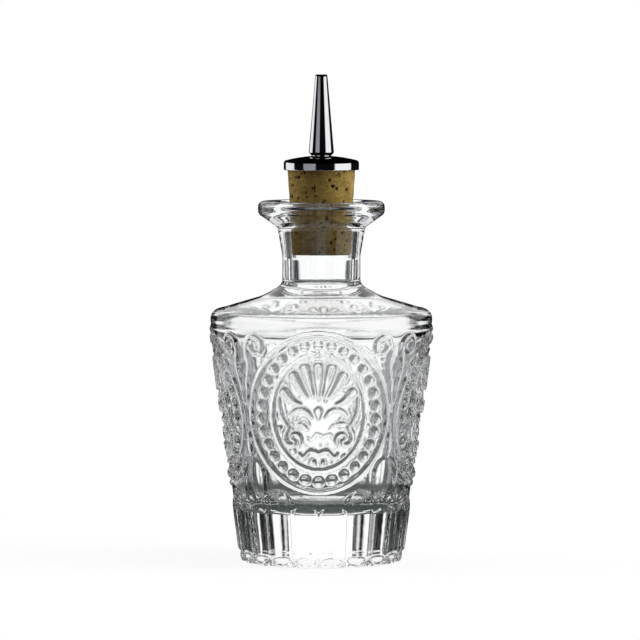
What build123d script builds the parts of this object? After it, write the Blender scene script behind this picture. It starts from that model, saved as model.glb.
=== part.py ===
"""A bitters bottle: a heavy pressed-glass bottle, closed by a tapered cork that carries a metal dasher.

The bottle stands on 20 toes at z = 0, with its axis on Z and one of its four medallions facing -Y.
The glass is one piece. The dasher is a domed cap, a tapered spout and a tube that runs down through
the cork. Sizes are in millimetres.
"""

import math
import os

from build123d import *

# Glass, outside, from the table upwards: heights are those of each stretch by itself
foot_radius = 21.3
foot_height = 3.6
base_radius = 23.95
body_height = 70.0
body_radius = 32.95
shoulder_rise = 4.1
knee_radius = 17.2
knee_rise = 3.3
neck_radius = 11.45
neck_straight = 8.6
neck_flare = 8.2
collar_radius = 12.9
lip_undercut = 4.0
lip_radius = 18.6
lip_thickness = 3.7

# Glass, roundings of the outside
corner_rounding = 3.1
knee_rounding = 14.0
neck_root_rounding = 3.0
waist_rounding = 16.0
lip_bulge = 1.3

# Glass, inside: the shoulder's and the neck root's walls are measured straight down
wall = 4.15
shoulder_wall = 3.7
neck_root_wall = 2.2
floor_thickness = 15.2
floor_rounding = 9.0
neck_bore_radius = 8.7
mouth_radius = 9.4
mouth_chamfer = 0.5

# The hollow under the base, which leaves a ring to stand on
kick_radius = 17.0
kick_depth = 1.3

# Flutes round the base: flat panels that stand a little proud of the wall. Each quarter has the same
# five arches from one medallion's middle to the next, short ones under the medallions.
flute_count = 20
flute_relief = 0.36
flute_root = 1.5
flute_tops = (18.3, 22.6, 31.8, 22.6, 18.3)
notch_radius = 1.6

# Medallions: their ovals are sized as seen from the front, their lines' widths as they lie on the wall
medallion_count = 4
medallion_centre_height = 45.4
frame_half_width = 20.1
frame_half_height = 23.5
frame_width = 1.5
frame_relief = 0.6
beads_in_ring = 30
bead_half_width = 16.6
bead_half_height = 20.1
bead_radius = 1.42
bead_relief = 0.8
bead_sides = 6
bead_lean = 35.0
inner_ring_half_width = 13.8
inner_ring_half_height = 17.2
inner_ring_width = 1.05
inner_ring_relief = 0.5

# Cork
cork_insertion = 16.3
cork_stand_out = 11.1
cork_taper = 0.0865
cork_fit = 0.1
cork_chamfer = 0.35

# Dasher: cap, spout and the tube through the cork
cap_radius = 11.05
cap_skirt = 2.7
cap_dome = 1.5
cap_wall = 0.6
cap_edge_rounding = 0.9
cap_seat_gap = 0.05
spout_height = 22.9
spout_radius = 3.7
spout_tip_radius = 1.75
spout_wall = 0.65
spout_orifice_radius = 0.75
spout_tip_thickness = 1.2
spout_neck_radius = 2.9
spout_neck_height = 0.9
spigot_radius = 2.6
spigot_length = 3.6
tube_radius = 2.1
tube_wall = 0.35
tube_socket = 3.2
tube_flange_radius = 3.4
tube_flange_thickness = 0.5
press_clearance = 0.04

# How far a cutter runs past the glass that it cuts
overrun = 2.0

quarter = 360.0 / medallion_count
flute_step = 360.0 / flute_count
half_flute = math.radians(flute_step) / 2

corner_height = foot_height + body_height
knee_height = corner_height + shoulder_rise
neck_root = knee_height + knee_rise
waist_height = neck_root + neck_straight
collar_height = waist_height + neck_flare
lip_bottom = collar_height + lip_undercut
lip_top = lip_bottom + lip_thickness

body_slope = (body_radius - base_radius) / body_height


def radius_of_body(height):
    """Radius of the tapered wall at a height above the table, without its relief."""
    return base_radius + body_slope * (height - foot_height)


def revolved(outline):
    """A solid turned about Z from a closed outline drawn in radius and height."""
    return revolve(make_face(outline), Axis.Z)


def upright(radius, height, low):
    """A cylinder on the bottle's axis that stands on a height."""
    return Pos(0, 0, low) * Cylinder(radius, height, align=(Align.CENTER, Align.CENTER, Align.MIN))


def glass_blank():
    """The outside of the bottle as a solid of revolution, from the foot to the top of the lip."""
    points = [
        (foot_radius, 0, 0),
        (base_radius, 0, foot_height),
        (body_radius, 0, corner_height),
        (knee_radius, 0, knee_height),
        (neck_radius, 0, neck_root),
        (neck_radius, 0, waist_height),
        (collar_radius, 0, collar_height),
        (lip_radius - lip_bulge, 0, lip_bottom),
    ]
    roundings = [0, corner_rounding, knee_rounding, neck_root_rounding, waist_rounding, 0]
    lip = ThreePointArc(
        (lip_radius - lip_bulge, 0, lip_bottom),
        (lip_radius, 0, lip_bottom + lip_thickness / 2),
        (lip_radius - lip_bulge, 0, lip_top),
    )
    ends = Polyline((lip_radius - lip_bulge, 0, lip_top), (0, 0, lip_top), (0, 0, 0), (foot_radius, 0, 0))
    return revolved(FilletPolyline(*points, radius=roundings) + lip + ends)


def cavity():
    """The hollow that holds the bitters, with the neck's bore, cut out past the mouth."""
    points = [
        (0, 0, floor_thickness),
        (radius_of_body(floor_thickness) - wall, 0, floor_thickness),
        (body_radius - wall, 0, corner_height - shoulder_wall),
        (neck_bore_radius, 0, neck_root - neck_root_wall),
        (mouth_radius, 0, lip_top - mouth_chamfer),
        (mouth_radius + mouth_chamfer, 0, lip_top),
        (mouth_radius + mouth_chamfer, 0, lip_top + overrun),
        (0, 0, lip_top + overrun),
    ]
    path = FilletPolyline(*points, radius=[floor_rounding, 0, 0, 0, 0, 0])
    return revolved(path + Line(path @ 1, path @ 0))


def kick():
    """The shallow dome under the base, a slice of a ball."""
    ball_radius = (kick_radius**2 + kick_depth**2) / (2 * kick_depth)
    ball = Pos(0, 0, kick_depth - ball_radius) * Sphere(ball_radius)
    return ball & upright(kick_radius + overrun, kick_depth + 2 * overrun, -overrun)


def panelled_cone():
    """A cone with a flat side for each flute, one of them facing -Y, which runs proud of the wall."""
    rings = []
    for height in (foot_height, max(flute_tops)):
        distance = radius_of_body(height) + flute_relief
        sides = RegularPolygon(distance, flute_count, major_radius=False)
        rings.append(Pos(0, 0, height) * Rot(0, 0, flute_step / 2) * sides)
    return loft(rings)


def flute(top):
    """One flat panel with an arched top, facing -Y, rooted in the glass and cut to its share of the turn."""
    half_width = (radius_of_body(top) + flute_relief) * math.tan(half_flute)
    spring = top - half_width
    left, right = (-half_width, spring), (half_width, spring)
    sides = Polyline(left, (-half_width, foot_height), (half_width, foot_height), right)
    arch = make_face(sides + ThreePointArc(right, (0, top), left))
    root = Plane(origin=(0, -(base_radius - flute_root), 0), x_dir=(1, 0, 0), z_dir=(0, -1, 0))
    reach = body_radius * math.tan(half_flute)
    wedge = make_face(Polyline((0, 0), (reach, -body_radius), (-reach, -body_radius), close=True))
    return extrude(root * arch, amount=body_radius) & extrude(wedge, amount=top) & panelled_cone()


def foot_notch():
    """Cuts the round gap between two toes, up along the sloping edge of the foot, facing -Y."""
    rise = Vector(0, foot_radius - base_radius, foot_height)
    start = Vector(0, -foot_radius, 0) - rise.normalized() * overrun
    length = rise.length + 2 * overrun
    groove = Plane(origin=start, z_dir=rise)
    return groove * Cylinder(notch_radius, length, align=(Align.CENTER, Align.CENTER, Align.MIN))


def relief_skin(relief):
    """A layer round the body, from inside the glass to a relief's height above it."""
    low = medallion_centre_height - frame_half_height - overrun
    high = medallion_centre_height + frame_half_height + overrun
    sunk = wall / 2
    return revolved(
        Polyline(
            (radius_of_body(low) - sunk, 0, low),
            (radius_of_body(low) + relief, 0, low),
            (radius_of_body(high) + relief, 0, high),
            (radius_of_body(high) - sunk, 0, high),
            close=True,
        )
    )


def oval_ring(half_width, half_height, width, relief):
    """One raised oval line of a medallion, facing -Y.

    Its width is measured on the wall, which leans away from the front by the angle of its place.
    """
    lean = math.asin((half_width - width / 2) / radius_of_body(medallion_centre_height))
    inside = Ellipse(half_width - width * math.cos(lean), half_height - width)
    ring = Ellipse(half_width, half_height) - inside
    front = Plane(origin=(0, 0, medallion_centre_height), x_dir=(1, 0, 0), z_dir=(0, -1, 0))
    prism = extrude(front * ring, amount=body_radius + relief + overrun)
    return prism & relief_skin(relief)


def pearl():
    """One pearl of a medallion's ring, as a low stud that points along +Z with its foot sunk in the glass."""
    spread = bead_relief * math.tan(math.radians(bead_lean))
    foot = RegularPolygon(bead_radius + spread, bead_sides)
    return Pos(0, 0, -bead_relief) * extrude(foot, amount=2 * bead_relief, taper=bead_lean)


def pearl_spots():
    """Planes on the wall for a medallion's pearls, at even steps round an oval seen from the front."""
    oval = Ellipse(bead_half_width, bead_half_height).edge()
    spots = []
    for index in range(beads_in_ring):
        place = oval.position_at((index + 1 / 2) / beads_in_ring)
        height = medallion_centre_height + place.Y
        wall_radius = radius_of_body(height)
        depth = math.sqrt(wall_radius**2 - place.X**2)
        outwards = (place.X, -depth, -body_slope * wall_radius)
        spots.append(Plane(origin=(place.X, -depth, height), z_dir=outwards))
    return spots


def bottle():
    """The glass bottle: turned blank, flutes, toes and hollow, and then the relief of four medallions."""
    panels = [flute(top) for top in flute_tops]
    flutes, notches = [], []
    for index in range(flute_count):
        flutes.append(Rot(0, 0, (index + 1 / 2) * flute_step) * panels[index % len(panels)])
        notches.append(Rot(0, 0, index * flute_step) * foot_notch())
    glass = glass_blank() + flutes - notches - cavity() - kick()
    lines = [
        oval_ring(frame_half_width, frame_half_height, frame_width, frame_relief),
        oval_ring(inner_ring_half_width, inner_ring_half_height, inner_ring_width, inner_ring_relief),
    ]
    pearls = [spot * pearl() for spot in pearl_spots()]
    turns = [Rot(0, 0, index * quarter) for index in range(medallion_count)]
    glass = glass + [turn * line for turn in turns for line in lines]
    return glass + [turn * bead for turn in turns for bead in pearls]


# Heights of the stopper's parts, all from the mouth of the bottle
cork_bottom = lip_top - cork_insertion
cork_top = lip_top + cork_stand_out
skirt_bottom = cork_top + cap_seat_gap + cap_wall - cap_skirt
cap_shoulder = skirt_bottom + cap_skirt
cap_top = cap_shoulder + cap_dome
spigot_bottom = cap_top - spigot_length
spout_base = cap_top + spout_neck_height
spout_tip = spout_base + spout_height


def cork_radius(height):
    """Radius of the cork's cone at a height: it fits the mouth there with its clearance."""
    return mouth_radius - cork_fit + cork_taper * (height - (lip_top - mouth_chamfer))


def cork():
    """The tapered cork, bored for the tube and the spigot, with a seat for the tube's flange."""
    body = revolved(
        Polyline(
            (0, 0, cork_bottom),
            (cork_radius(cork_bottom) - cork_chamfer, 0, cork_bottom),
            (cork_radius(cork_bottom), 0, cork_bottom + cork_chamfer),
            (cork_radius(cork_top), 0, cork_top - cork_chamfer),
            (cork_radius(cork_top) - cork_chamfer, 0, cork_top),
            (0, 0, cork_top),
            close=True,
        )
    )
    tube_hole = upright(
        tube_radius + press_clearance, cork_top - cork_bottom + 2 * overrun, cork_bottom - overrun
    )
    spigot_hole = upright(
        spigot_radius + press_clearance, spigot_length + overrun, spigot_bottom - press_clearance
    )
    flange_seat = upright(
        tube_flange_radius + press_clearance, overrun + tube_flange_thickness, cork_bottom - overrun
    )
    return body - tube_hole - spigot_hole - flange_seat


def domed_cup(radius, low, shoulder):
    """A solid cup shape with a domed top: the cap's outside, or the hollow inside it."""
    ball_radius = (radius**2 + cap_dome**2) / (2 * cap_dome)
    can = upright(radius, shoulder + cap_dome - low, low)
    ball = Pos(0, 0, shoulder + cap_dome - ball_radius) * Sphere(ball_radius)
    return can & ball


def cap():
    """The pressed metal cap over the cork, pierced for the spout's spigot."""
    outside = domed_cup(cap_radius, skirt_bottom, cap_shoulder)
    rim = outside.edges().filter_by(Plane.XY).sort_by(Axis.Z)[-1]
    outside = fillet(rim, cap_edge_rounding)
    inside = domed_cup(cap_radius - cap_wall, skirt_bottom - overrun, cap_shoulder - cap_wall)
    hole = upright(spigot_radius + press_clearance, cap_skirt + cap_dome + overrun, skirt_bottom)
    return outside - inside - hole


def spout():
    """The tapered spout, hollow down to its small orifice, with the spigot that holds it in the cap."""
    outside = revolved(
        Polyline(
            (0, 0, spigot_bottom),
            (spigot_radius, 0, spigot_bottom),
            (spigot_radius, 0, cap_top),
            (spout_neck_radius, 0, cap_top),
            (spout_radius, 0, spout_base),
            (spout_tip_radius, 0, spout_tip),
            (0, 0, spout_tip),
            close=True,
        )
    )
    chamber_radius = tube_radius - tube_wall
    chamber = revolved(
        Polyline(
            (0, 0, cap_top),
            (chamber_radius, 0, cap_top),
            (spout_tip_radius - spout_wall, 0, spout_tip - spout_tip_thickness),
            (0, 0, spout_tip - spout_tip_thickness),
            close=True,
        )
    )
    orifice = upright(spout_orifice_radius, spout_neck_height + spout_height + overrun, cap_top)
    socket = upright(tube_radius + press_clearance, overrun + tube_socket, spigot_bottom - overrun)
    passage = upright(chamber_radius, spigot_length + spout_neck_height, spigot_bottom)
    return outside - chamber - orifice - socket - passage


def tube():
    """The tube from the bottom of the cork up into the spout, with a flange that holds the cork on."""
    tube_top = spigot_bottom + tube_socket
    flange_top = cork_bottom + tube_flange_thickness
    return revolved(
        Polyline(
            (tube_radius - tube_wall, 0, cork_bottom),
            (tube_flange_radius, 0, cork_bottom),
            (tube_flange_radius, 0, flange_top),
            (tube_radius, 0, flange_top),
            (tube_radius, 0, tube_top),
            (tube_radius - tube_wall, 0, tube_top),
            close=True,
        )
    )


def report(name, shape):
    """Prints a piece's size and volume, as a note for whoever builds it."""
    size = shape.bounding_box().size
    print(f"{name}: {size.X:.1f} x {size.Y:.1f} x {size.Z:.1f} mm, {shape.volume / 1000:.2f} ml")


pieces = {
    "bottle": bottle(),
    "cork": cork(),
    "cap": cap(),
    "spout": spout(),
    "cork_tube": tube(),
}

os.makedirs("parts", exist_ok=True)
for name, shape in pieces.items():
    report(name, shape)
    export_step(shape, f"parts/{name}.step")
print(f"brimful capacity: {(glass_blank() & cavity()).volume / 1000:.0f} ml")
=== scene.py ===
# %% [markdown]
# # A bitters bottle in pressed glass
#
# The real thing is a heavy clear bottle pressed in a mould: a thick lip, a short neck, a sloping
# shoulder and a tapered body with four oval medallions over twenty flat flutes. A tapered cork
# plugs it, and a chromed cap with a long thin spout sits on the cork.
#
# Glass shows nothing of its own. All that we see is the light behind it, bent by every slope of its
# surface, so this lesson spends most of its care on the shape of that surface. It is one closed
# skin, outside and inside, worked out as arrays of numbers.

# %% Load the measured model
import math

import bpy
import numpy as np
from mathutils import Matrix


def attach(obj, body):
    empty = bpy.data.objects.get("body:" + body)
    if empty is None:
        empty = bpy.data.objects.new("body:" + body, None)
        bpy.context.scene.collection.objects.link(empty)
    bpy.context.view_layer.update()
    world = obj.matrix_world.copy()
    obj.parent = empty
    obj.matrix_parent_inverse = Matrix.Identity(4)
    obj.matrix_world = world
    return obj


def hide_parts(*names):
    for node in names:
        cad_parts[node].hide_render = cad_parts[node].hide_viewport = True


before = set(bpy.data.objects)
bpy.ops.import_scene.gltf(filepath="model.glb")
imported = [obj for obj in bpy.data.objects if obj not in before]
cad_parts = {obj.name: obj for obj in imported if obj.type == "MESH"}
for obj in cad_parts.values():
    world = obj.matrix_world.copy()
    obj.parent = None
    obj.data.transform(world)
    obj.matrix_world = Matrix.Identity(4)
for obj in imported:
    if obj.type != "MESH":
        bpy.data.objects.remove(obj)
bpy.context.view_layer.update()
MM = 0.001

# %% [markdown]
# ## Outlines with rounded corners
#
# A bottle is turned about its axis, so its whole shape starts as one outline of radius and height.
# We could draw it as a Bezier curve and spin it, but a list of corners with a rounding at each says
# the same in the maker's own terms, and it lets us choose how close the rows of the mesh lie.


# %% Outline helpers
def rounded_outline(corners, roundings, arc_steps=12):
    """Points along straight runs joined by arcs.

    At a corner that turns by an angle a, an arc of radius R touches both runs at R tan(a / 2) from
    the corner. The arc's centre lies off the first touching point, square to the run, by R.
    """
    corners = np.array(corners, dtype=float)
    points = [corners[:1]]
    for before, corner, after, radius in zip(corners, corners[1:], corners[2:], roundings):
        into = (corner - before) / np.linalg.norm(corner - before)
        out = (after - corner) / np.linalg.norm(after - corner)
        turn = math.atan2(into[0] * out[1] - into[1] * out[0], into @ out)
        if radius == 0 or turn == 0:
            points.append(corner[None])
            continue
        side = math.copysign(1, turn)
        start = corner - into * radius * math.tan(abs(turn) / 2)
        centre = start + side * radius * np.array([-into[1], into[0]])
        spokes = np.linspace(0, turn, arc_steps)
        spin = np.stack([np.cos(spokes), -np.sin(spokes), np.sin(spokes), np.cos(spokes)], axis=1)
        points.append(centre + spin.reshape(-1, 2, 2) @ (start - centre))
    points.append(corners[-1:])
    return np.concatenate(points)


def even_rows(outline, spacing, samples=6000):
    """Places rows along an outline so that their distance is the spacing asked for at each height.

    The number of rows between two points is the integral of distance over spacing, so equal steps
    of that integral are the places of the rows.
    """
    steps = np.linalg.norm(np.diff(outline, axis=0), axis=1)
    along = np.concatenate([[0], np.cumsum(steps)])
    fine = np.linspace(0, along[-1], samples)
    radius, height = (np.interp(fine, along, outline[:, axis]) for axis in (0, 1))
    rows = np.concatenate([[0], np.cumsum(np.diff(fine) / spacing(height[1:]))])
    wanted = np.linspace(0, rows[-1], int(round(rows[-1])) + 1)
    return np.stack([np.interp(wanted, rows, radius), np.interp(wanted, rows, height)], axis=1)


def evenly(step):
    """A spacing for even_rows that is the same at every height."""
    return lambda height: step + 0 * height


def by_height(places, gaps):
    """A spacing for even_rows that is given at a few heights and changes evenly between them."""
    return lambda height: np.interp(height, places, gaps)


def outward(outline):
    """Unit normals of an outline: its direction (a, b) turned to the right, which is (b, -a)."""
    direction = np.gradient(outline, axis=0)
    direction /= np.linalg.norm(direction, axis=1, keepdims=True)
    return np.stack([direction[:, 1], -direction[:, 0]], axis=1)


# %% [markdown]
# ## From rings of points to a closed skin
#
# A turned surface is a stack of rings. The carved part of the bottle needs many points in each
# ring and the smooth parts need few, so a ring may hand over to one with a quarter as many points.
# The first and last ring each close on a single point, which leaves no hole at the axis.


# %% Ring meshes
def even_turn(columns):
    """Angles of evenly spaced columns round the axis."""
    return np.arange(columns) / columns * 2 * math.pi


def turned(outline, turn, lift=0.0):
    """Rings of an outline: (r cos t, r sin t, z), with each point lifted along the outline's normal."""
    normal = outward(outline)
    radius = outline[:, :1] + normal[:, :1] * lift
    height = outline[:, 1:] + normal[:, 1:] * lift + 0 * turn
    return np.stack([radius * np.cos(turn), radius * np.sin(turn), height], axis=2)


def ring_faces(first, above, columns):
    """Quads between two rings of equal size: (j, j + 1) below and (j + 1, j) above."""
    here = np.arange(columns)
    there = (here + 1) % columns
    return np.stack([first + here, first + there, above + there, above + here], axis=1).tolist()


def handover_faces(first, columns, above, columns_above):
    """Faces between rings where one has several times as many points: one face per coarse step."""
    if columns > columns_above:
        return [face[::-1] for face in handover_faces(above, columns_above, first, columns)]
    many = columns_above // columns
    here = np.arange(columns)[:, None]
    fine = above + (here * many + np.arange(many, -1, -1)) % columns_above
    return np.concatenate([fine, first + here, first + (here + 1) % columns], axis=1).tolist()


def fan_faces(tip, first, columns):
    """Triangles between a single point and a ring: (tip, j, j + 1)."""
    here = np.arange(columns)
    return np.stack([tip + 0 * here, first + here, first + (here + 1) % columns], axis=1)


def skin(name, blocks, close_start=True, attributes=None):
    """An object from blocks of rings in millimetres, joined in order and closed on the axis."""
    points, faces, rings = [], [], []
    count = 0
    if close_start:
        points.append(blocks[0][0].mean(axis=0)[None])
        count = 1
    for block in blocks:
        rows, columns = block.shape[:2]
        points.append(block.reshape(-1, 3))
        rings += [(count + row * columns, columns) for row in range(rows)]
        count += rows * columns
    for (first, columns), (above, columns_above) in zip(rings, rings[1:]):
        if columns == columns_above:
            faces += ring_faces(first, above, columns)
        else:
            faces += handover_faces(first, columns, above, columns_above)
    if close_start:
        faces += fan_faces(0, *rings[0])[:, [0, 2, 1]].tolist()
    points.append(blocks[-1][-1].mean(axis=0)[None])
    faces += fan_faces(count, *rings[-1]).tolist()
    mesh = bpy.data.meshes.new(name)
    mesh.from_pydata((np.concatenate(points) * MM).tolist(), [], faces)
    mesh.shade_smooth()
    for label, values in (attributes or {}).items():
        layer = mesh.attributes.new(label, "FLOAT", "POINT")
        layer.data.foreach_set("value", values)
    piece = bpy.data.objects.new(name, mesh)
    bpy.context.collection.objects.link(piece)
    triangles = sum(len(face) - 2 for face in faces)
    print(f"{name}: {len(mesh.vertices)} points, {triangles} triangles")
    return piece


# %% [markdown]
# ## The bottle's outlines
#
# All sizes are in millimetres and match the measured model. The outside runs from the middle of the
# foot, up the wall and over the shoulder to the lip. The inside then goes down the bore and round
# the hollow to its floor, so one line describes the whole skin.

# %% Sizes of the glass
kick_radius, kick_depth = 17.0, 1.3
standing_radius, foot_radius = 19.4, 21.3
base_radius, base_top = 23.95, 3.6
body_radius, corner_height = 32.95, 73.6
shoulder_radius, shoulder_height = 29.6, 74.03
knee_radius, knee_height = 17.2, 77.7
neck_radius, neck_root = 11.45, 81.0
waist_height = 89.6
collar_radius, collar_height = 12.9, 97.8
lip_radius, lip_bottom, lip_top = 18.6, 101.8, 105.5

mouth_radius, mouth_funnel, funnel_edge = 9.4, 2.5, 0.05
bore_radius, bore_root = 8.7, 78.8
hollow_radius, hollow_top = 28.8, 69.9
hollow_floor, hollow_floor_radius = 15.2, 21.3
axis_ring = 0.6

wall_slope = (body_radius - base_radius) / (corner_height - base_top)


def wall_radius(height):
    """Radius of the tapered wall at a height, without its relief."""
    return base_radius + wall_slope * (height - base_top)


# %% Roundings of the glass
kick_rounding, standing_rounding = 30.0, 3.0
kick_bend_share, kick_drop_share = 0.6, 0.62
foot_inner_rounding, foot_outer_rounding, corner_rounding = 0.8, 1.5, 3.1
knee_rounding, neck_root_rounding, waist_rounding, collar_rounding = 14.0, 3.0, 16.0, 1.2
lip_rounding_low, lip_rounding_high = 1.8, 1.75
mouth_rounding, funnel_rounding = 0.7, 0.6
bore_rounding, hollow_rounding, floor_rounding = 2.0, 7.0, 9.0

# %% The three stretches of the outline
underside = rounded_outline(
    [
        (axis_ring, kick_depth),
        (kick_radius * kick_bend_share, kick_depth * kick_drop_share),
        (kick_radius, 0),
        (standing_radius, 0),
    ],
    [kick_rounding, standing_rounding],
)
carved_wall = rounded_outline(
    [
        (standing_radius, 0),
        (foot_radius, 0),
        (base_radius, base_top),
        (body_radius, corner_height),
        (shoulder_radius, shoulder_height),
    ],
    [foot_inner_rounding, foot_outer_rounding, corner_rounding],
)
smooth_top = rounded_outline(
    [
        (shoulder_radius, shoulder_height),
        (knee_radius, knee_height),
        (neck_radius, neck_root),
        (neck_radius, waist_height),
        (collar_radius, collar_height),
        (lip_radius, lip_bottom),
        (lip_radius, lip_top),
        (mouth_radius + mouth_funnel, lip_top),
        (mouth_radius - funnel_edge, lip_top - mouth_funnel),
        (bore_radius, bore_root),
        (hollow_radius, hollow_top),
        (hollow_floor_radius, hollow_floor),
        (axis_ring, hollow_floor),
    ],
    [
        knee_rounding, neck_root_rounding, waist_rounding, collar_rounding,
        lip_rounding_low, lip_rounding_high, mouth_rounding, funnel_rounding,
        bore_rounding, hollow_rounding, floor_rounding,
    ],
)
print("the outline runs from", underside[0], "to", smooth_top[-1])


# %% [markdown]
# ## Relief as a height over the wall
#
# Everything that the mould pressed into the wall is a height over it, in millimetres, at each angle
# and height. A quarter of the bottle carries one medallion, and the other three are copies of it.
# A raised line is a cushion: at a distance d from its middle, with half width w, it stands
# h sqrt(1 - (d / w) squared), so its edges are steep and catch a dark line in the glass.

# %% Sizes of the medallion
medallion_height = 45.4
frame_across, frame_up, frame_width, frame_relief = 20.1, 23.5, 1.5, 0.6
beads_across, beads_up = 16.6, 20.1
bead_count, bead_radius, bead_relief = 30, 1.42, 0.95
inner_across, inner_up, inner_width, inner_relief = 13.8, 17.2, 1.05, 0.5


def cushion(distance, half_width, height, power=2):
    """h sqrt(1 - (d / w) to a power) inside the half width: 2 gives a round top, 4 or 6 a flatter one."""
    return height * np.sqrt(np.clip(1 - np.abs(distance / half_width) ** power, 0, 1))


def smooth_step(value):
    """0 below 0, 1 above 1, and 3 v squared - 2 v cubed between."""
    value = np.clip(value, 0, 1)
    return value * value * (3 - 2 * value)


def oval_distance(across, up, half_across, half_up, lean):
    """Distance from an oval, measured on the wall: F over the length of its slope.

    F = (x / a) squared + (z / b) squared - 1, where x is seen from the front. On the wall, x grows
    by the cosine of the angle, which is the lean given here.
    """
    form = (across / half_across) ** 2 + (up / half_up) ** 2 - 1
    slope = np.hypot(2 * across / half_across**2 * lean, 2 * up / half_up**2)
    return form / np.maximum(slope, 1e-6)


# %% Strokes: curved leaves, scrolls and stems
def curve_through(points, samples=48):
    """A smooth curve through a few points: each span is a cubic with the slope of its neighbours."""
    points = np.array(points, dtype=float)
    padded = np.concatenate([2 * points[:1] - points[1:2], points, 2 * points[-1:] - points[-2:-1]])
    place = np.linspace(0, len(points) - 1, samples)
    span = np.minimum(place.astype(int), len(points) - 2)
    t = (place - span)[:, None]
    a, b, c, d = (padded[span + step] for step in range(4))
    return 0.5 * (2 * b + (c - a) * t + (2 * a - 5 * b + 4 * c - d) * t**2 + (3 * b - a - 3 * c + d) * t**3)


def stroke(u, v, path, widths, height):
    """A raised stroke along a path, whose half width follows a few widths along it."""
    half = np.interp(np.linspace(0, 1, len(path)), np.linspace(0, 1, len(widths)), widths)
    reach = max(widths)
    low, high = path.min(axis=0) - reach, path.max(axis=0) + reach
    near = (u > low[0]) & (u < high[0]) & (v > low[1]) & (v < high[1])
    gap = np.hypot(u[near][:, None] - path[:, 0], v[near][:, None] - path[:, 1]) / half
    relief = np.zeros_like(u)
    relief[near] = cushion(gap.min(axis=1), 1.0, height, power=4)
    return relief


def spiral(centre, start_radius, end_radius, start_turn, turns, samples=60):
    """A scroll: the radius shrinks evenly while the angle runs on."""
    share = np.linspace(0, 1, samples)
    radius = start_radius + (end_radius - start_radius) * share
    angle = 2 * math.pi * (start_turn + turns * share)
    return np.stack([centre[0] + radius * np.cos(angle), centre[1] + radius * np.sin(angle)], axis=1)


# %% [markdown]
# ## The ornament inside the medallion
#
# A palmette is an old ornament: teardrop lobes that fan out from one root. Here it stands over a
# drop, two arched leaves, two volutes and a wavy bracket. Each is one stroke given by a few points,
# to the right of the middle line, and mirrored for the left.

# %% Motifs, in millimetres from the middle of the medallion
# Each motif is the points of its path, its half widths along the path and its height.
motifs = [
    ([(0.0, 5.0), (0.0, 9.5), (0.0, 13.5)], (0.3, 1.2, 1.45), 0.95),
    ([(1.5, 5.0), (2.7, 9.2), (3.85, 13.1)], (0.3, 1.15, 1.45), 0.95),
    ([(3.1, 4.8), (5.3, 7.7), (7.2, 10.9)], (0.3, 0.95, 1.35), 0.95),
    ([(5.1, 2.7), (7.7, 3.9), (10.0, 6.1)], (0.3, 0.9, 1.4), 0.95),
    ([(0.0, -1.7), (0.0, -0.4), (0.0, 0.8)], (0.3, 0.8, 1.25), 0.95),
    ([(1.7, -1.3), (3.3, 0.5), (5.1, 1.1), (6.9, 0.6), (8.3, -0.7)], (0.2, 0.6, 0.75, 0.6, 0.2), 0.85),
    ([(3.3, -4.4), (4.8, -3.2), (7.4, -3.0), (9.2, -3.9), (10.3, -5.6)], (0.2, 0.35, 0.4, 0.4, 0.3), 0.6),
    ([(8.4, -4.0), (9.7, -6.0), (9.7, -7.9), (8.4, -9.1), (7.0, -8.9), (6.7, -7.9)],
     (0.3, 0.75, 0.8, 0.55, 0.45, 0.35), 0.95),
    ([(5.7, -9.4), (5.1, -7.9), (5.7, -6.4), (7.1, -6.0), (7.9, -7.0), (7.3, -8.0)],
     (0.3, 0.6, 0.6, 0.5, 0.4, 0.3), 0.85),
    ([(1.3, -13.8), (0.9, -15.2)], (0.4, 0.25), 0.6),
    ([(0.0, -11.7), (1.3, -11.1), (2.6, -11.0), (3.7, -12.2), (4.7, -12.7), (5.5, -11.8)],
     (0.6, 0.6, 0.6, 0.5, 0.4, 0.3), 0.85),
    ([(11.7, 4.4), (11.1, 0.0), (9.2, -3.8)], (0.25, 0.45, 0.25), 0.6),
]


def ornament(u, v):
    """The height of the palmette and scrolls, the same on both sides of the middle line."""
    u = np.abs(u)
    strokes = [stroke(u, v, curve_through(path), widths, height) for path, widths, height in motifs]
    return np.max(strokes, axis=0)


# %% [markdown]
# ## Between the medallions
#
# Where two medallions almost touch, a pair of scrolls hangs from the shoulder, and their stems run
# down together between the frames and end in a bud over the tallest flute.

# %% The scrolls between medallions, in millimetres from the line midway between two of them
scroll_height = 64.6
scroll = spiral((5.3, scroll_height), start_radius=2.9, end_radius=0.7, start_turn=0.42, turns=-1.6)
stem = curve_through([(2.5, 65.8), (2.0, 62.5), (2.6, 59.0), (1.5, 54.0), (0.6, 48.0)])
bud = curve_through([(0.0, 40.5), (0.0, 36.5), (0.0, 32.5)])
hanging = [
    (scroll, (0.7, 0.6, 0.4), 0.6),
    (stem, (0.7, 0.8, 0.7, 0.6, 0.4), 0.55),
    (bud, (0.3, 0.9, 0.3), 0.5),
]


def between(u, height):
    """The height of the scrolls, stems and buds, the same on both sides of the line midway."""
    u = np.abs(u)
    return np.max([stroke(u, height, path, widths, relief) for path, widths, relief in hanging], axis=0)


# %% Beads evenly spaced round their oval
def bead_places(samples=2000):
    """(angle, height) of each bead, at equal steps of the oval's length as seen from the front."""
    turn = np.linspace(0, 2 * math.pi, samples)
    across, height = beads_across * np.sin(turn), medallion_height + beads_up * np.cos(turn)
    angle = np.arcsin(across / wall_radius(height))
    along = np.concatenate([[0], np.cumsum(np.hypot(np.diff(across), np.diff(height)))])
    wanted = np.arange(bead_count) / bead_count * along[-1]
    return np.interp(wanted, along, angle), np.interp(wanted, along, height)


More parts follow.
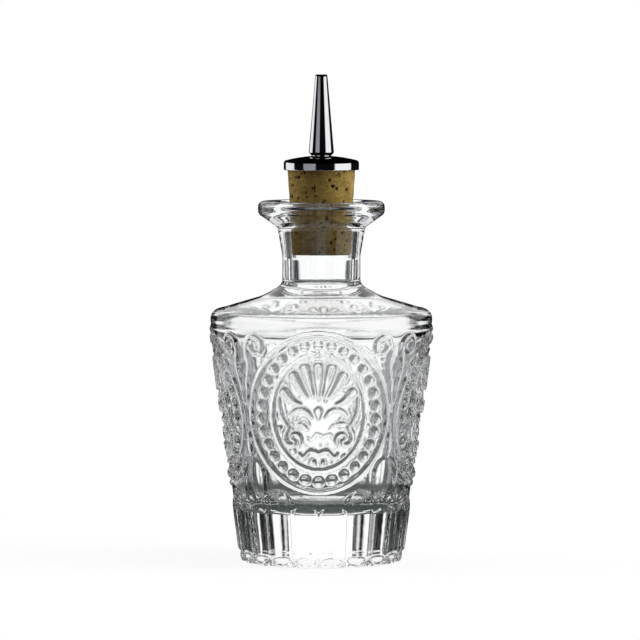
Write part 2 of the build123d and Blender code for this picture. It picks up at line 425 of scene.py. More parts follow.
def medallion(angle, height):
    """Relief of one medallion at each angle from its middle, in radians, and each height."""
    radius = wall_radius(height)
    across, up, lean = radius * np.sin(angle), height - medallion_height, np.cos(angle)
    rim = oval_distance(across, up, frame_across - frame_width / 2, frame_up - frame_width / 2, lean)
    line = oval_distance(across, up, inner_across - inner_width / 2, inner_up - inner_width / 2, lean)
    raised = [
        cushion(rim, frame_width / 2, frame_relief),
        cushion(line, inner_width / 2, inner_relief),
        ornament(angle * radius, up),
    ]
    for bead_angle, bead_height in zip(*bead_places()):
        gap = np.hypot((angle - bead_angle) * radius, height - bead_height)
        raised.append(cushion(gap, bead_radius, bead_relief))
    return np.max(raised, axis=0)


# %% [markdown]
# ## Flutes and toes
#
# Twenty flat panels stand round the base like the sides of a pillar. Each ends in a round arch, and
# the arches rise towards the gaps between the medallions. Under the panels, twenty round toes carry
# the bottle.

# %% Sizes of the flutes and toes
flute_step = math.radians(18)
flute_tops = {9: 18.3, 27: 22.6, 45: 31.8, 63: 22.6}
panel_relief, panel_sag = 0.36, 0.22
arch_bevel = 0.3
panel_reach = 0.5
nowhere = -1000.0
toe_middle, toe_half, toe_relief = 2.3, 3.1, 1.9
toe_width_share = 0.99
toe_recess, recess_top, recess_fade = 1.0, 4.4, 1.2


def panel_mix(angle, height):
    """Height over the wall of the flat panels: the panel where its arch reaches, else the wall.

    A panel's distance from the axis is p / cos(t), with p growing up the panel. Inside an arch,
    the distance to its outline is the half width less the distance from the arch's centre line.
    """
    flat = wall_radius(height) + panel_relief
    half = flat * math.tan(flute_step / 2)
    best = np.full(angle.shape, nowhere)
    radius = wall_radius(height) + 0 * angle
    surface = radius.copy()
    for degrees, top in flute_tops.items():
        for side in (-1, 1):
            off = angle - side * math.radians(degrees)
            slant = np.clip(off, -panel_reach, panel_reach)
            inside = half - np.hypot(flat * np.tan(slant), np.maximum(height - top + half, 0))
            nearer = (inside > best) & (np.abs(off) < panel_reach)
            best = np.where(nearer, inside, best)
            across = np.tan(slant) / math.tan(flute_step / 2)
            hollow = panel_sag * np.clip(1 - across**2, 0, 1)
            surface = np.where(nearer, flat / np.cos(slant) - hollow, surface)
    return (surface - radius) * smooth_step((best + arch_bevel) / arch_bevel)


def toes(angle, along):
    """Round toes: an ellipsoid's height over the wall, sqrt(1 - off squared) sqrt(1 - up squared)."""
    off = np.abs((angle / flute_step) % 1 - 0.5) * 2 / toe_width_share
    up = (along - toe_middle) / toe_half
    return toe_relief * np.sqrt(np.clip(1 - off**2, 0, 1)) * np.sqrt(np.clip(1 - up**2, 0, 1))


# %% [markdown]
# ## The carved wall
#
# A sculptor would press the relief into the wall with a displacement texture. Here each height is
# added along the wall's own normal, so a bead stands square to the wall it sits on. The grid is
# kept fine only where there is something to show.

# %% How close the grid lies on the carved wall
# Rows lie close together on the toes, the arches and the medallions.
quarter_columns = 112
palmette_density, palmette_edge, palmette_blend = 0.45, 0.46, 0.05
wall_places = [0, 5, 6, 15, 16, 22, 23, 68, 69, 76]
wall_gaps = [0.43, 0.43, 1.5, 1.5, 0.46, 0.46, 0.43, 0.43, 0.7, 0.7]


def quarter_turn(samples=2000):
    """Angles of a quarter's columns, nearly half as close again over the palmette as beside it."""
    fine = np.linspace(-math.pi / 4, math.pi / 4, samples)
    density = 1 + palmette_density * smooth_step((palmette_edge - np.abs(fine)) / palmette_blend)
    along = np.concatenate([[0], np.cumsum(density[1:])])
    return np.interp(np.arange(quarter_columns) / quarter_columns * along[-1], along, fine)


# %% Lay the relief on a quarter of the wall
relief_low, relief_low_fade = 2.2, 0.8
relief_high, relief_high_fade = 71.5, 1.5

wall_rows = even_rows(carved_wall, by_height(wall_places, wall_gaps))
quarter_angle = quarter_turn()
angle_grid, height_grid = np.meshgrid(quarter_angle, wall_rows[:, 1])
along_grid = np.concatenate([[0], np.cumsum(np.linalg.norm(np.diff(wall_rows, axis=0), axis=1))])
along_grid = along_grid[:, None] + 0 * angle_grid

fade_low = smooth_step((height_grid - relief_low) / relief_low_fade)
fade_high = smooth_step((relief_high - height_grid) / relief_high_fade)
gap_angle = (angle_grid + math.pi / 2) % (math.pi / 2) - math.pi / 4
lift = panel_mix(angle_grid, height_grid) * fade_low * fade_high
lift += fade_high * np.maximum(
    medallion(angle_grid, height_grid), between(gap_angle * wall_radius(height_grid), height_grid)
)
toe = toes(angle_grid, along_grid)
beside_toes = 1 - smooth_step(2 * toe / toe_relief)
lift = np.maximum(lift, toe)
lift -= toe_recess * smooth_step((recess_top - along_grid) / recess_fade) * beside_toes
print(f"relief from {lift.min():.2f} to {lift.max():.2f} mm")

# %% [markdown]
# ## One skin for the glass
#
# The quarter of relief is laid round the bottle four times. Pressed glass is never quite true, so
# the inside gets slow ripples of a tenth of a millimetre, which make the light behind it swim.


# %% Ripples of the inner wall
ripple_height = 0.12
ripple_waves = [(3, 0.21, 0.0, 1.0), (5, -0.13, 1.3, 1.0), (8, 0.35, 0.4, 0.7)]
ripple_low, ripple_low_fade = hollow_floor + 2, 6
ripple_high, ripple_high_fade = bore_root - 1, 3


def ripples(points):
    """Slow waves: the sum of a share s times sin(n t + c z + p), each for one (n, c, p, s)."""
    turn = np.arctan2(points[..., 1], points[..., 0])
    height = points[..., 2]
    waves = [
        share * np.sin(fold * turn + climb * height + start)
        for fold, climb, start, share in ripple_waves
    ]
    return ripple_height * sum(waves) / sum(share for *_, share in ripple_waves)


# %% Build the glass
# Rows lie close together on the neck and the lip, and wide apart down the hollow.
top_places = [14, 16, 25, 68, 74, 80, 105]
top_gaps = [0.9, 0.9, 1.5, 1.5, 0.8, 0.6, 0.4]
underside_gap = 1.4
thinning = 4

full_turn = (np.arange(4)[:, None] * math.pi / 2 - math.pi / 2 + quarter_angle).ravel()
carved = turned(wall_rows, full_turn, np.tile(lift, (1, 4)))
carved[..., 2] = np.maximum(carved[..., 2], 0)

top = turned(even_rows(smooth_top, by_height(top_places, top_gaps)), full_turn[::thinning])
past_the_lip = (np.arange(len(top)) > np.argmax(top[:, 0, 2]))[:, None]
hollow_wall = past_the_lip * smooth_step((ripple_high - top[..., 2]) / ripple_high_fade)
hollow_wall *= smooth_step((top[..., 2] - ripple_low) / ripple_low_fade)
reach = np.hypot(top[..., 0], top[..., 1])
top[..., :2] *= (1 + ripples(top) * hollow_wall / reach)[..., None]

bottom = turned(even_rows(underside, evenly(underside_gap)), full_turn[::thinning])

outside = np.zeros(1 + bottom[..., 0].size + carved[1:-1, :, 0].size)
inside = np.concatenate([outside, hollow_wall.ravel(), [0]])
glass = skin("pressed_glass", [bottom, carved[1:-1], top], attributes={"inside": inside})

# %% [markdown]
# ## The cork
#
# Cork is cut from bark, and its pores and dark veins show on the side. We could only bump them in the
# material, but they are deep enough to show in the outline, so the mesh itself is pitted, and
# each point carries how deep its pit is, for the material to darken.

# %% Sizes of the cork
cork_low, cork_high = 90.0, 116.6
cork_slope_free, cork_slope_squeezed = 0.065, 0.045
cork_fit = 0.1
grip_height = lip_top - 0.5
cork_rounding_low, cork_rounding_grip, cork_rounding_high = 0.4, 20.0, 0.35
cork_first_ring, cork_last_ring = 2.2, 2.7


def cork_radius(height):
    """Radius of the cork: it widens faster above the mouth than in the neck, which squeezes it."""
    above = height - grip_height
    return mouth_radius - cork_fit + above * (cork_slope_free if above > 0 else cork_slope_squeezed)


# %% Pores
random = np.random.default_rng(7)
pore_count = 330
pore_least, pore_spread, pore_rarity = 0.16, 0.62, 0.55
pore_angle = random.uniform(0, 2 * math.pi, pore_count)
pore_height = random.uniform(cork_low, cork_high, pore_count)
pore_share = random.power(pore_rarity, pore_count) * random.uniform(0.3, 1, pore_count)
pore_size = pore_least + pore_spread * pore_share
pore_stretch = random.uniform(0.6, 1.7, pore_count)
pore_edge, pore_full_size = 1.25, 0.4
cork_mean_radius = 9.5


def pits(angle, height):
    """How deep the pores are at each point, from 0 on the face to 1 at the bottom of a pore."""
    depth = np.zeros_like(angle)
    for place, level, size, stretch in zip(pore_angle, pore_height, pore_size, pore_stretch):
        turn = (angle - place + math.pi) % (2 * math.pi) - math.pi
        gap = np.hypot(turn * cork_mean_radius * stretch, height - level) / size
        depth = np.maximum(depth, smooth_step(pore_edge - gap) * min(1, size / pore_full_size))
    return depth


print(f"{pore_count} pores from {pore_size.min():.2f} to {pore_size.max():.2f} mm")

# %% Build the cork
cork_columns, cork_gap = 360, 0.28
grain_height, pit_depth = 0.03, 0.55
side_start, side_fade = 6.5, 1.5
cork_side = rounded_outline(
    [
        (cork_first_ring, cork_low),
        (cork_radius(cork_low), cork_low),
        (cork_radius(grip_height), grip_height),
        (cork_radius(cork_high), cork_high),
        (cork_last_ring, cork_high),
    ],
    [cork_rounding_low, cork_rounding_grip, cork_rounding_high],
    arc_steps=5,
)
cork_rows = even_rows(cork_side, evenly(cork_gap))
cork_turn = even_turn(cork_columns)
cork_angle, cork_height = np.meshgrid(cork_turn, cork_rows[:, 1])
side = smooth_step((cork_rows[:, :1] - side_start) / side_fade)
cork_pits = pits(cork_angle, cork_height) * side
grain = np.sin(9 * cork_angle + 1.7 * np.sin(0.9 * cork_height))
grain *= np.sin(2.3 * cork_height + 4 * np.sin(cork_angle))
cork_points = turned(cork_rows, cork_turn, grain_height * grain * side - pit_depth * cork_pits)
cork = skin(
    "cork_stopper",
    [cork_points],
    attributes={"pit": np.concatenate([[0], cork_pits.ravel(), [0]])},
)

# %% [markdown]
# ## The chromed dasher
#
# Cap and spout are turned parts, so their outlines say all. Polished metal shows every flat, so the
# outlines are rounded wherever the real edges are, and the rings are close together.


# %% Turned metal parts
def turned_piece(name, corners, roundings, spacing, columns=192):
    """A turned part from an outline of corners with roundings."""
    outline = rounded_outline(corners, roundings, arc_steps=7)
    return skin(name, [turned(even_rows(outline, evenly(spacing)), even_turn(columns))])


# %% The cap: a short skirt under a dome
cap_radius, cap_wall = 11.05, 0.6
cap_low, cap_shoulder, cap_top = 114.55, 117.25, 118.75
cap_hole, cap_hole_drop, dome_foot = 2.7, 0.06, 3.1
cap_inner_bend, cap_inner_bend_rise, cap_inner_rise = 9.0, 0.45, 1.3
cap_roundings = [0, 0.2, 0.12, 0.25, 0.9]
dome_rise = cap_top - cap_shoulder
dome_ball = (cap_radius**2 + dome_rise**2) / (2 * dome_rise)


def dome_height(radius):
    """Height of the dome, a slice of a ball of radius R: it drops by R - R cos(asin(r / R))."""
    return cap_top - dome_ball * (1 - math.cos(math.asin(radius / dome_ball)))


dome_radii = cap_radius * np.linspace(1, 0, 14)[1:-1]
dome = [(radius, dome_height(radius)) for radius in dome_radii if radius > dome_foot]
ceiling = cap_shoulder - cap_wall
cap_outline = [
    (cap_hole, ceiling + cap_inner_rise),
    (cap_inner_bend, ceiling + cap_inner_bend_rise),
    (cap_radius - cap_wall, ceiling),
    (cap_radius - cap_wall, cap_low),
    (cap_radius, cap_low),
    (cap_radius, cap_shoulder),
    *dome,
    (cap_hole, cap_top - cap_hole_drop),
]
cap = turned_piece("dasher_cap", cap_outline, cap_roundings + [0] * len(dome), spacing=0.22)

# %% The spout: a long cone over a narrow neck, bored from its tip
spigot_radius, spigot_depth, spigot_draft = 2.6, 1.2, 0.05
spout_neck_radius, spout_neck_step = 2.9, 0.1
spout_radius, spout_low = 3.7, 119.65
spout_tip_radius, spout_high = 1.75, 142.5
orifice_radius, orifice_depth = 0.75, 1.2
bore_tip_radius, bore_tip_step, bore_foot_radius = 1.1, 0.1, 1.7
spout = turned_piece(
    "dasher_spout",
    [
        (spigot_radius - spigot_draft, cap_top - spigot_depth),
        (spigot_radius, cap_top - spout_neck_step),
        (spout_neck_radius, cap_top),
        (spout_radius, spout_low),
        (spout_tip_radius, spout_high),
        (orifice_radius, spout_high),
        (orifice_radius, spout_high - orifice_depth),
        (bore_tip_radius, spout_high - orifice_depth - bore_tip_step),
        (bore_foot_radius, cap_top),
    ],
    [0, 0.1, 0.25, 0.3, 0.25, 0.2, 0, 0],
    spacing=0.3,
)

# %% The tube through the cork, with its end spread into a flange
tube_bore, tube_radius, tube_high = 1.75, 2.1, 117.0
flange_radius, flange_thickness = 3.4, 0.5
tube = turned_piece(
    "tube_flange",
    [
        (tube_bore, tube_high),
        (tube_bore, cork_low),
        (flange_radius, cork_low),
        (flange_radius, cork_low + flange_thickness),
        (tube_radius, cork_low + flange_thickness),
        (tube_radius, tube_high),
    ],
    [0, 0.1, 0.1, 0.1, 0],
    spacing=0.5,
    columns=96,
)

# %% [markdown]
# ## Shader values that add and multiply
#
# A material is a graph of nodes. Written node by node, a formula is hard to read, so a small class
# stands for one output and turns plus and times into Math nodes. One method makes any other node.


# %% Shader helpers
class Value:
    """One output of a shader node, which can be used in sums."""

    def __init__(self, tree, output):
        self.tree, self.output = tree, output

    def sum_with(self, operation, first, second):
        """The output of a new Math node on two values or numbers."""
        node = self.tree.nodes.new("ShaderNodeMath")
        node.operation = operation
        for socket, value in zip(node.inputs, (first, second)):
            if isinstance(value, Value):
                self.tree.links.new(value.output, socket)
            else:
                socket.default_value = value
        return Value(self.tree, node.outputs[0])

    def __add__(self, other):
        return self.sum_with("ADD", self, other)

    def __radd__(self, other):
        return self.sum_with("ADD", other, self)

    def __rsub__(self, other):
        return self.sum_with("SUBTRACT", other, self)

    def __mul__(self, other):
        return self.sum_with("MULTIPLY", self, other)

    def __rmul__(self, other):
        return self.sum_with("MULTIPLY", other, self)

    def __truediv__(self, other):
        return self.sum_with("DIVIDE", self, other)

    def under(self, other):
        """The smaller of the two."""
        return self.sum_with("MINIMUM", self, other)


class Graph:
    """The nodes of a material or of the world."""

    def __init__(self, owner):
        owner.use_nodes = True
        self.tree = owner.node_tree
        self.tree.nodes.clear()

    def node(self, kind, settings=None, output=0, **inputs):
        """Adds a node: its settings first, then its sockets, by name or as i and their number."""
        made = self.tree.nodes.new(kind)
        for name, value in (settings or {}).items():
            if name == "stops":
                ramp = made.color_ramp
                while len(ramp.elements) < len(value):
                    ramp.elements.new(0.5)
                for element, (position, colour) in zip(ramp.elements, value):
                    element.position, element.color = position, (*colour, 1)
            else:
                setattr(made, name, value)
        for name, value in inputs.items():
            numbered = name[0] == "i" and name[1:].isdigit()
            socket = made.inputs[int(name[1:]) if numbered else name.replace("_", " ")]
            if isinstance(value, Value):
                self.tree.links.new(value.output, socket)
            else:
                socket.default_value = value
        return Value(self.tree, made.outputs[output]) if made.outputs else None


def new_material(name):
    """A material and the empty graph of its nodes."""
    material = bpy.data.materials.new(name)
    return material, Graph(material)


def mixed(graph, share, first, second):
    """The first colour where the share is 0, and the second where it is 1."""
    return graph.node("ShaderNodeMix", {"data_type": "RGBA"}, output=2, i0=share, i6=first, i7=second)


def smooth_range(graph, value, low, high):
    """0 below the low value, 1 above the high one, smooth between."""
    return graph.node(
        "ShaderNodeMapRange", {"interpolation_type": "SMOOTHSTEP"}, Value=value, From_Min=low, From_Max=high
    )


# %% [markdown]
# ## Glass
#
# Clear glass takes all its looks from bending light, so transmission and index sit at fixed values.
# The faint unevenness that the mould leaves is a very low bump. The carved outside is nearly
# clear, and the rippled wall of the hollow is hazier, by the attribute that the mesh carries.

# %% Glass material
glass_material, graph = new_material("clear_pressed_glass")
place = graph.node("ShaderNodeTexCoord", output=3)
slow = graph.node("ShaderNodeTexNoise", Vector=place, Scale=90.0, Detail=2.0, Roughness=0.5)
fine = graph.node("ShaderNodeTexNoise", Vector=place, Scale=420.0, Detail=3.0, Roughness=0.6)
swirl = slow * 0.7 + fine * 0.3
bump = graph.node("ShaderNodeBump", Height=swirl, Strength=0.25, Distance=0.0002)
tint = graph.node(
    "ShaderNodeValToRGB", {"stops": [(0.3, (0.988, 0.996, 0.994)), (0.7, (0.995, 1.0, 1.0))]}, Fac=slow
)
inside = graph.node("ShaderNodeAttribute", {"attribute_name": "inside"}, output=2)
haze = 0.004 + 0.01 * fine + 0.075 * inside
shader = graph.node(
    "ShaderNodeBsdfPrincipled",
    **{"Base_Color": tint, "Roughness": haze, "IOR": 1.5, "Transmission_Weight": 1.0, "Normal": bump},
)
graph.node("ShaderNodeOutputMaterial", Surface=shader)

# %% [markdown]
# ## Cork
#
# Cork is a warm tan, mottled at the size of its grains, with darker streaks. The pits carry their own
# depth from the mesh, and the material turns them dark brown, while the whole cork is rough.

# %% Cork material
cork_material, graph = new_material("natural_cork")
place = graph.node("ShaderNodeTexCoord", output=3)
pit = graph.node("ShaderNodeAttribute", {"attribute_name": "pit"}, output=2)
grains = graph.node("ShaderNodeTexVoronoi", {"feature": "F1"}, Vector=place, Scale=1100.0)
mottle = graph.node("ShaderNodeTexNoise", Vector=place, Scale=260.0, Detail=5.0, Roughness=0.65)
squashed = graph.node("ShaderNodeMapping", Vector=place, Scale=(1, 1, 3.5))
streaks = graph.node("ShaderNodeTexNoise", Vector=squashed, Scale=420.0, Detail=3.0)
tone = mottle * 0.55 + streaks * 0.3 + grains * 0.15
cork_stops = [
    (0.25, (0.10, 0.058, 0.013)),
    (0.42, (0.21, 0.135, 0.032)),
    (0.55, (0.30, 0.205, 0.052)),
    (0.72, (0.42, 0.31, 0.10)),
]
ground = graph.node("ShaderNodeValToRGB", {"stops": cork_stops}, Fac=tone)
pit_brown = (0.030, 0.011, 0.004, 1)
colour = mixed(graph, (pit * 1.2).under(1.0), ground, pit_brown)
bump = graph.node("ShaderNodeBump", Height=tone, Strength=0.5, Distance=0.0004)
shader = graph.node(
    "ShaderNodeBsdfPrincipled",
    **{"Base_Color": colour, "Roughness": 0.72 + 0.2 * mottle, "Specular_IOR_Level": 0.15, "Normal": bump},
)
graph.node("ShaderNodeOutputMaterial", Surface=shader)

# %% [markdown]
# ## Chrome
#
# Polished chrome is almost a mirror. What keeps it real is a very slight haze, wiped unevenly by
# fingers, and hair-fine wipe marks.

# %% Chrome material
chrome_material, graph = new_material("polished_chrome")
place = graph.node("ShaderNodeTexCoord", output=3)
smudge = graph.node("ShaderNodeTexNoise", Vector=place, Scale=180.0, Detail=4.0)
squashed = graph.node("ShaderNodeMapping", Vector=place, Scale=(1, 1, 12))
wipes = graph.node("ShaderNodeTexNoise", Vector=squashed, Scale=500.0, Detail=2.0)
tint_stops = [(0.3, (0.80, 0.81, 0.83)), (0.7, (0.88, 0.88, 0.89))]
tint = graph.node("ShaderNodeValToRGB", {"stops": tint_stops}, Fac=smudge)
bump = graph.node("ShaderNodeBump", Height=wipes, Strength=0.05, Distance=0.00005)
shader = graph.node(
    "ShaderNodeBsdfPrincipled",
    **{"Base_Color": tint, "Metallic": 1.0, "Roughness": 0.015 + 0.04 * smudge, "Normal": bump},
)
graph.node("ShaderNodeOutputMaterial", Surface=shader)

# %% [markdown]
# ## Pieces and the bodies they belong to
#
# Each piece takes the place of one node of the measured model and moves with its body. The glass
# stands still, and the four others go up together when the stopper is drawn.

# %% Hand each piece its material and its body, and hide the node it replaces
for piece, material, body, node, slot in (
    (glass, glass_material, "bottle", "bottle", "glass"),
    (cork, cork_material, "stopper", "cork", "cork"),
    (cap, chrome_material, "stopper", "cap", "metal"),
    (spout, chrome_material, "stopper", "spout", "metal"),
    (tube, chrome_material, "stopper", "cork_tube", "metal"),
):
    piece.data.materials.append(material)
    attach(piece, body)
    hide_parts(node)
    print(f"{piece.name} rides on {body}")

# %% [markdown]
# ## Windows and flags round the object
#
# Glass is shot against a bright field with dark flags beside it, so that its edges turn dark where
# they bend light in from the sides. We could stand real cards round the bottle, but a band of
# colours by direction does the same and is easy to shift. Rays that have gone through glass see
# windows that are mirrored into quarters. Rays mirrored by metal see a studio of their own,
# and matt surfaces are lit by a soft light that is strongest on the right.
#
# A direction is a turn from straight behind the bottle: 0.25 is its right side and 0.5 the camera.

# %% Colours of the windows and flags
def banded(*bands):
    """Ramp stops for bands of (from, to, colour), which blend into each other in the gaps."""
    return [(edge, colour) for low, high, colour in bands for edge in (low, high)]


def grey(level):
    """A colour of equal red, green and blue."""
    return (level, level, level)


black, white, bright = (0.012, 0.012, 0.014), grey(1.1), grey(1.0)
slate, olive, jet = (0.42, 0.43, 0.47), (0.065, 0.068, 0.052), (0.003, 0.003, 0.004)

# %% Windows for rays through glass: the base looks up into the world, the walls down to the floor
base_windows = banded(
    (0.0000, 0.0465, white),
    (0.0485, 0.0575, black),
    (0.0590, 0.0620, white),
    (0.0635, 0.0670, black),
    (0.0682, 0.0693, white),
    (0.0705, 0.0745, black),
    (0.0760, 0.0830, white),
    (0.0860, 0.1030, black),
    (0.1130, 0.1220, olive),
    (0.1270, 0.1500, black),
    (0.1560, 0.2500, olive),
)
wall_windows = banded(
    (0.000, 0.034, white),
    (0.041, 0.068, black),
    (0.076, 0.100, slate),
    (0.106, 0.120, black),
    (0.126, 0.145, white),
    (0.152, 0.168, black),
    (0.178, 0.250, slate),
)
neck_windows = banded((0.000, 0.090, white), (0.098, 0.250, black))
neck_start, neck_full = 1.20, 1.28

# %% What metal mirrors, and the soft light on matt surfaces
# Each line is one band of the metal's studio.
mirrored = [
    (0.000, jet), (0.205, jet),
    (0.215, bright), (0.372, bright),
    (0.384, jet), (0.540, jet),
    (0.550, (0.32, 0.32, 0.34)), (0.648, (0.28, 0.28, 0.30)),
    (0.656, jet), (0.746, jet),
    (0.756, (0.85, 0.85, 0.87)), (0.875, bright),
    (0.885, jet), (1.000, jet),
]
soft_light = [
    (0.00, grey(0.9)),
    (0.14, grey(1.1)),
    (0.23, (2.0, 1.97, 1.9)),
    (0.31, (1.5, 1.48, 1.4)),
    (0.41, grey(0.12)),
    (0.62, (0.06, 0.06, 0.07)),
    (0.72, (0.7, 0.7, 0.72)),
    (0.80, (1.3, 1.3, 1.32)),
    (0.90, grey(1.0)),
]
print(len(base_windows), "stops for the base,", len(wall_windows), "for the walls")


# %% Directions and kinds of rays
def round_horizon(graph, direction, stops, folds):
    """The studio's colour by direction.

    The direction's turn from straight behind is atan2(x, y) / (2 pi). With more folds than one it
    runs to 1 / folds and back again, so that each window is mirrored.
    """
    split = graph.node("ShaderNodeSeparateXYZ", Vector=direction)
    east, north = (Value(graph.tree, split.output.node.outputs[index]) for index in (0, 1))
    turn = graph.node("ShaderNodeMath", {"operation": "ARCTAN2"}, i0=east, i1=north) / (2 * math.pi) + 1.0
    if folds == 1:
        place = graph.node("ShaderNodeMath", {"operation": "FRACT"}, i0=turn)
    else:
        place = graph.node("ShaderNodeMath", {"operation": "PINGPONG"}, i0=turn, i1=1 / folds)
    return graph.node("ShaderNodeValToRGB", {"stops": stops}, Fac=place)


def ray_kinds(graph):
    """Values that are 1 for a ray from the camera, a ray last mirrored and one last through glass.

    A ray that has met a matt surface carries light to that surface, so it counts as neither: the
    cork in the neck is lit by plain white light.
    """
    path = graph.node("ShaderNodeLightPath")
    names = ("Is Camera Ray", "Is Glossy Ray", "Is Transmission Ray", "Diffuse Depth")
    camera_ray, mirror_ray, glass_ray, depth = (
        Value(graph.tree, path.output.node.outputs[name]) for name in names
    )
    clean = 1.0 - depth.under(1.0)
    return camera_ray, mirror_ray * clean, glass_ray * clean


# %% [markdown]
# ## Floor
#
# The bottle stands on white paper, which keeps its soft shadow. Clear glass on white would be nearly
# invisible, so rays that have met the object see a dark table close to it and windows farther out.
# The camera itself sees paper that runs over into plain white, so there is no horizon.

# %% Floor
floor_reach, paper_share = 3.0, 0.85
table_edge, table_end = 0.08, 0.15
table_green, pure_white = (0.06, 0.072, 0.068, 1), (1, 1, 1, 1)
floor_mesh = bpy.data.meshes.new("floor")
floor_signs = [(-1, -1), (1, -1), (1, 1), (-1, 1)]
floor_mesh.from_pydata([(x * floor_reach, y * floor_reach, 0) for x, y in floor_signs], [], [(0, 1, 2, 3)])
floor = bpy.data.objects.new("floor", floor_mesh)
bpy.context.collection.objects.link(floor)

# %% Floor material
floor_material, graph = new_material("white_floor")
place = graph.node("ShaderNodeTexCoord", output=3)
grain = graph.node("ShaderNodeTexNoise", Vector=place, Scale=60.0)
paper = graph.node("ShaderNodeValToRGB", {"stops": [(0.3, grey(0.955)), (0.7, grey(0.965))]}, Fac=grain)
diffuse = graph.node("ShaderNodeBsdfDiffuse", Color=paper)
camera_ray, mirror_ray, through_ray = ray_kinds(graph)
away = graph.node("ShaderNodeVectorMath", {"operation": "LENGTH"}, output=1, i0=place)
wall_ring = round_horizon(graph, place, wall_windows, 4)
neck_ring = round_horizon(graph, place, neck_windows, 4)
through = mixed(graph, smooth_range(graph, away, neck_start, neck_full), wall_ring, neck_ring)
mirror = round_horizon(graph, place, mirrored, 1)
studio = mixed(graph, through_ray, mirror, through)
met_object = (mirror_ray + through_ray).under(1.0)
around = round_horizon(graph, place, soft_light, 1)
glow_colour = mixed(graph, camera_ray, mixed(graph, met_object, around, studio), pure_white)
glow = graph.node("ShaderNodeEmission", Color=glow_colour, Strength=1.0)
lit_paper = graph.node("ShaderNodeEmission", Color=pure_white, Strength=1.0)
dark_table = graph.node("ShaderNodeEmission", Color=table_green, Strength=1.0)
near = graph.node("ShaderNodeMixShader", Fac=camera_ray * paper_share, i1=diffuse, i2=lit_paper)
near = graph.node("ShaderNodeMixShader", Fac=mirror_ray + through_ray, i1=near, i2=dark_table)
far = smooth_range(graph, away, table_edge, table_end)
shader = graph.node("ShaderNodeMixShader", Fac=far, i1=near, i2=glow)
graph.node("ShaderNodeOutputMaterial", Surface=shader)
floor_mesh.materials.append(floor_material)

# %% [markdown]
# ## World
#
# The world is white to the camera. Rays through glass see the base's windows in it, and a white
# sky above them that keeps the shoulder bright. Mirrored rays see the metal's studio under a
# nearly black ceiling, which gives the cap its dark top.

# %% World
ceiling_start, ceiling_full = 0.14, 0.3
black_ceiling = (0.012, 0.012, 0.015, 1)
world = bpy.data.worlds.new("studio")
bpy.context.scene.world = world
world.cycles.sampling_method = "NONE"
graph = Graph(world)
camera_ray, mirror_ray, through_ray = ray_kinds(graph)
met_object = (mirror_ray + through_ray).under(1.0)
direction = graph.node("ShaderNodeTexCoord", output=0)
up = graph.node("ShaderNodeSeparateXYZ", output=2, Vector=direction)
through = round_horizon(graph, direction, base_windows, 4)
mirror = round_horizon(graph, direction, mirrored, 1)
around = round_horizon(graph, direction, soft_light, 1)
studio = mixed(graph, through_ray, mirror, through)
overhead = mixed(graph, through_ray, black_ceiling, pure_white)
studio = mixed(graph, smooth_range(graph, up, ceiling_start, ceiling_full), studio, overhead)
shown = graph.node("ShaderNodeBackground", Color=pure_white, Strength=1.0)
object_light = graph.node("ShaderNodeBackground", Color=studio, Strength=1.0)
soft = graph.node("ShaderNodeBackground", Color=around, Strength=1.0)
light = graph.node("ShaderNodeMixShader", Fac=met_object, i1=soft, i2=object_light)
light = graph.node("ShaderNodeMixShader", Fac=camera_ray, i1=light, i2=shown)
graph.node("ShaderNodeOutputWorld", Surface=light)

# %% [markdown]
# ## A white hood over the glass
#
# Polished metal looks best under a dark ceiling, but glass under one turns grey, because its sloping
# shoulder mirrors it. A studio hangs a white hood where only the glass can see it. Here the hood
# is a dome that only mirrored rays meet, and light linking lets its light reach the glass alone.

# %% The dome of the hood: an outline of (R cos e, R sin e) for angles e from low to nearly overhead
hood_radius, hood_brightness = 2600.0, 0.95
hood_low_edge, hood_high_edge = 12.5, 89.0
hood_climb = np.radians(np.linspace(hood_low_edge, hood_high_edge, 14))
hood_outline = hood_radius * np.stack([np.cos(hood_climb), np.sin(hood_climb)], axis=1)
hood = skin("white_hood", [turned(hood_outline, even_turn(48))], close_start=False)

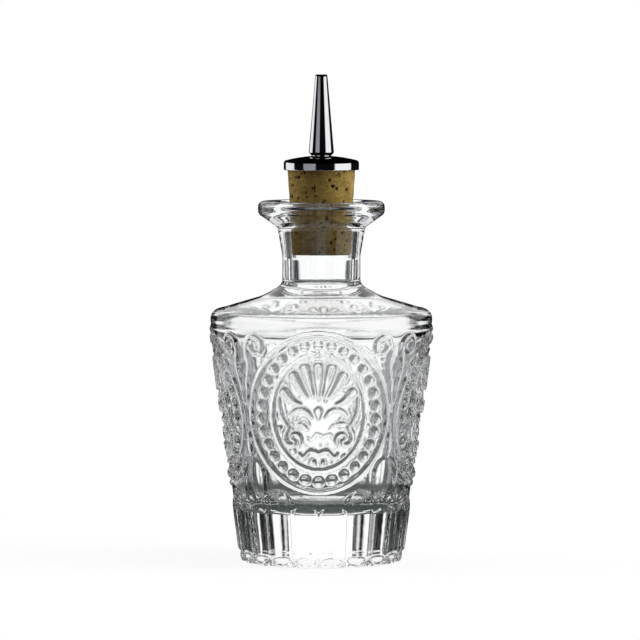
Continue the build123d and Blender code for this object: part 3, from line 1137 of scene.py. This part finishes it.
# %% Light of the hood, for the glass alone
hood_material, graph = new_material("white_hood")
hood_glow = graph.node("ShaderNodeEmission", Color=pure_white, Strength=hood_brightness)
graph.node("ShaderNodeOutputMaterial", Surface=hood_glow)
hood_material.cycles.emission_sampling = "NONE"
hood.data.materials.append(hood_material)
hood.visible_camera = False
hood.visible_diffuse = False
hood.visible_transmission = False
hood.visible_shadow = False
glass_only = bpy.data.collections.new("lit_by_the_hood")
glass_only.objects.link(glass)
hood.light_linking.receiver_collection = glass_only

# %% [markdown]
# ## Lamps
#
# Two round lamps model the cork: a strong one on the right and a weak one on the left. Neither
# shows in the glass or the metal, which have their windows for that.

# %% Lamps
lamp_target = np.array([0, 0, 0.08])
lamps = [("key", (1.3, -0.1, 0.8), 0.8, 9.0), ("fill", (-1.3, 0.2, 0.7), 0.9, 5.0)]
for name, place, size, power in lamps:
    lamp = bpy.data.lights.new(name, "AREA")
    lamp.shape, lamp.size, lamp.energy = "DISK", size, power
    holder = bpy.data.objects.new(name, lamp)
    bpy.context.collection.objects.link(holder)
    holder.location = place
    aim = lamp_target - np.array(place)
    tilt = math.atan2(math.hypot(aim[0], aim[1]), -aim[2])
    holder.rotation_euler = (tilt, 0, math.atan2(-aim[0], aim[1]))
    lamp.cycles.is_caustics_light = False
    holder.visible_glossy = False
    holder.visible_transmission = False
    print(f"lamp {name}: {power} W")

# %% [markdown]
# ## Camera
#
# The photograph was taken from a little above the lip with a long lens, so the rims look almost
# flat. The camera stands 1.2 m away and looks down by under four degrees.

# %% Camera
camera_distance, camera_height, aim_height = 1.2, 0.146, 0.0705
camera_turn, camera_shift = math.radians(1.7), -0.0004
lens_length, sensor_width = 230.3, 36.0
camera_data = bpy.data.cameras.new("camera")
camera = bpy.data.objects.new("camera", camera_data)
bpy.context.collection.objects.link(camera)
bpy.context.scene.camera = camera
pitch = math.atan2(camera_height - aim_height, camera_distance)
camera.location = (
    camera_distance * math.sin(camera_turn) + camera_shift,
    -camera_distance * math.cos(camera_turn),
    camera_height,
)
camera.rotation_euler = (math.pi / 2 - pitch, 0, camera_turn)
camera_data.sensor_width = sensor_width
camera_data.lens = lens_length
camera_data.clip_start, camera_data.clip_end = 0.05, 20.0

bpy.context.scene.view_settings.view_transform = "Standard"
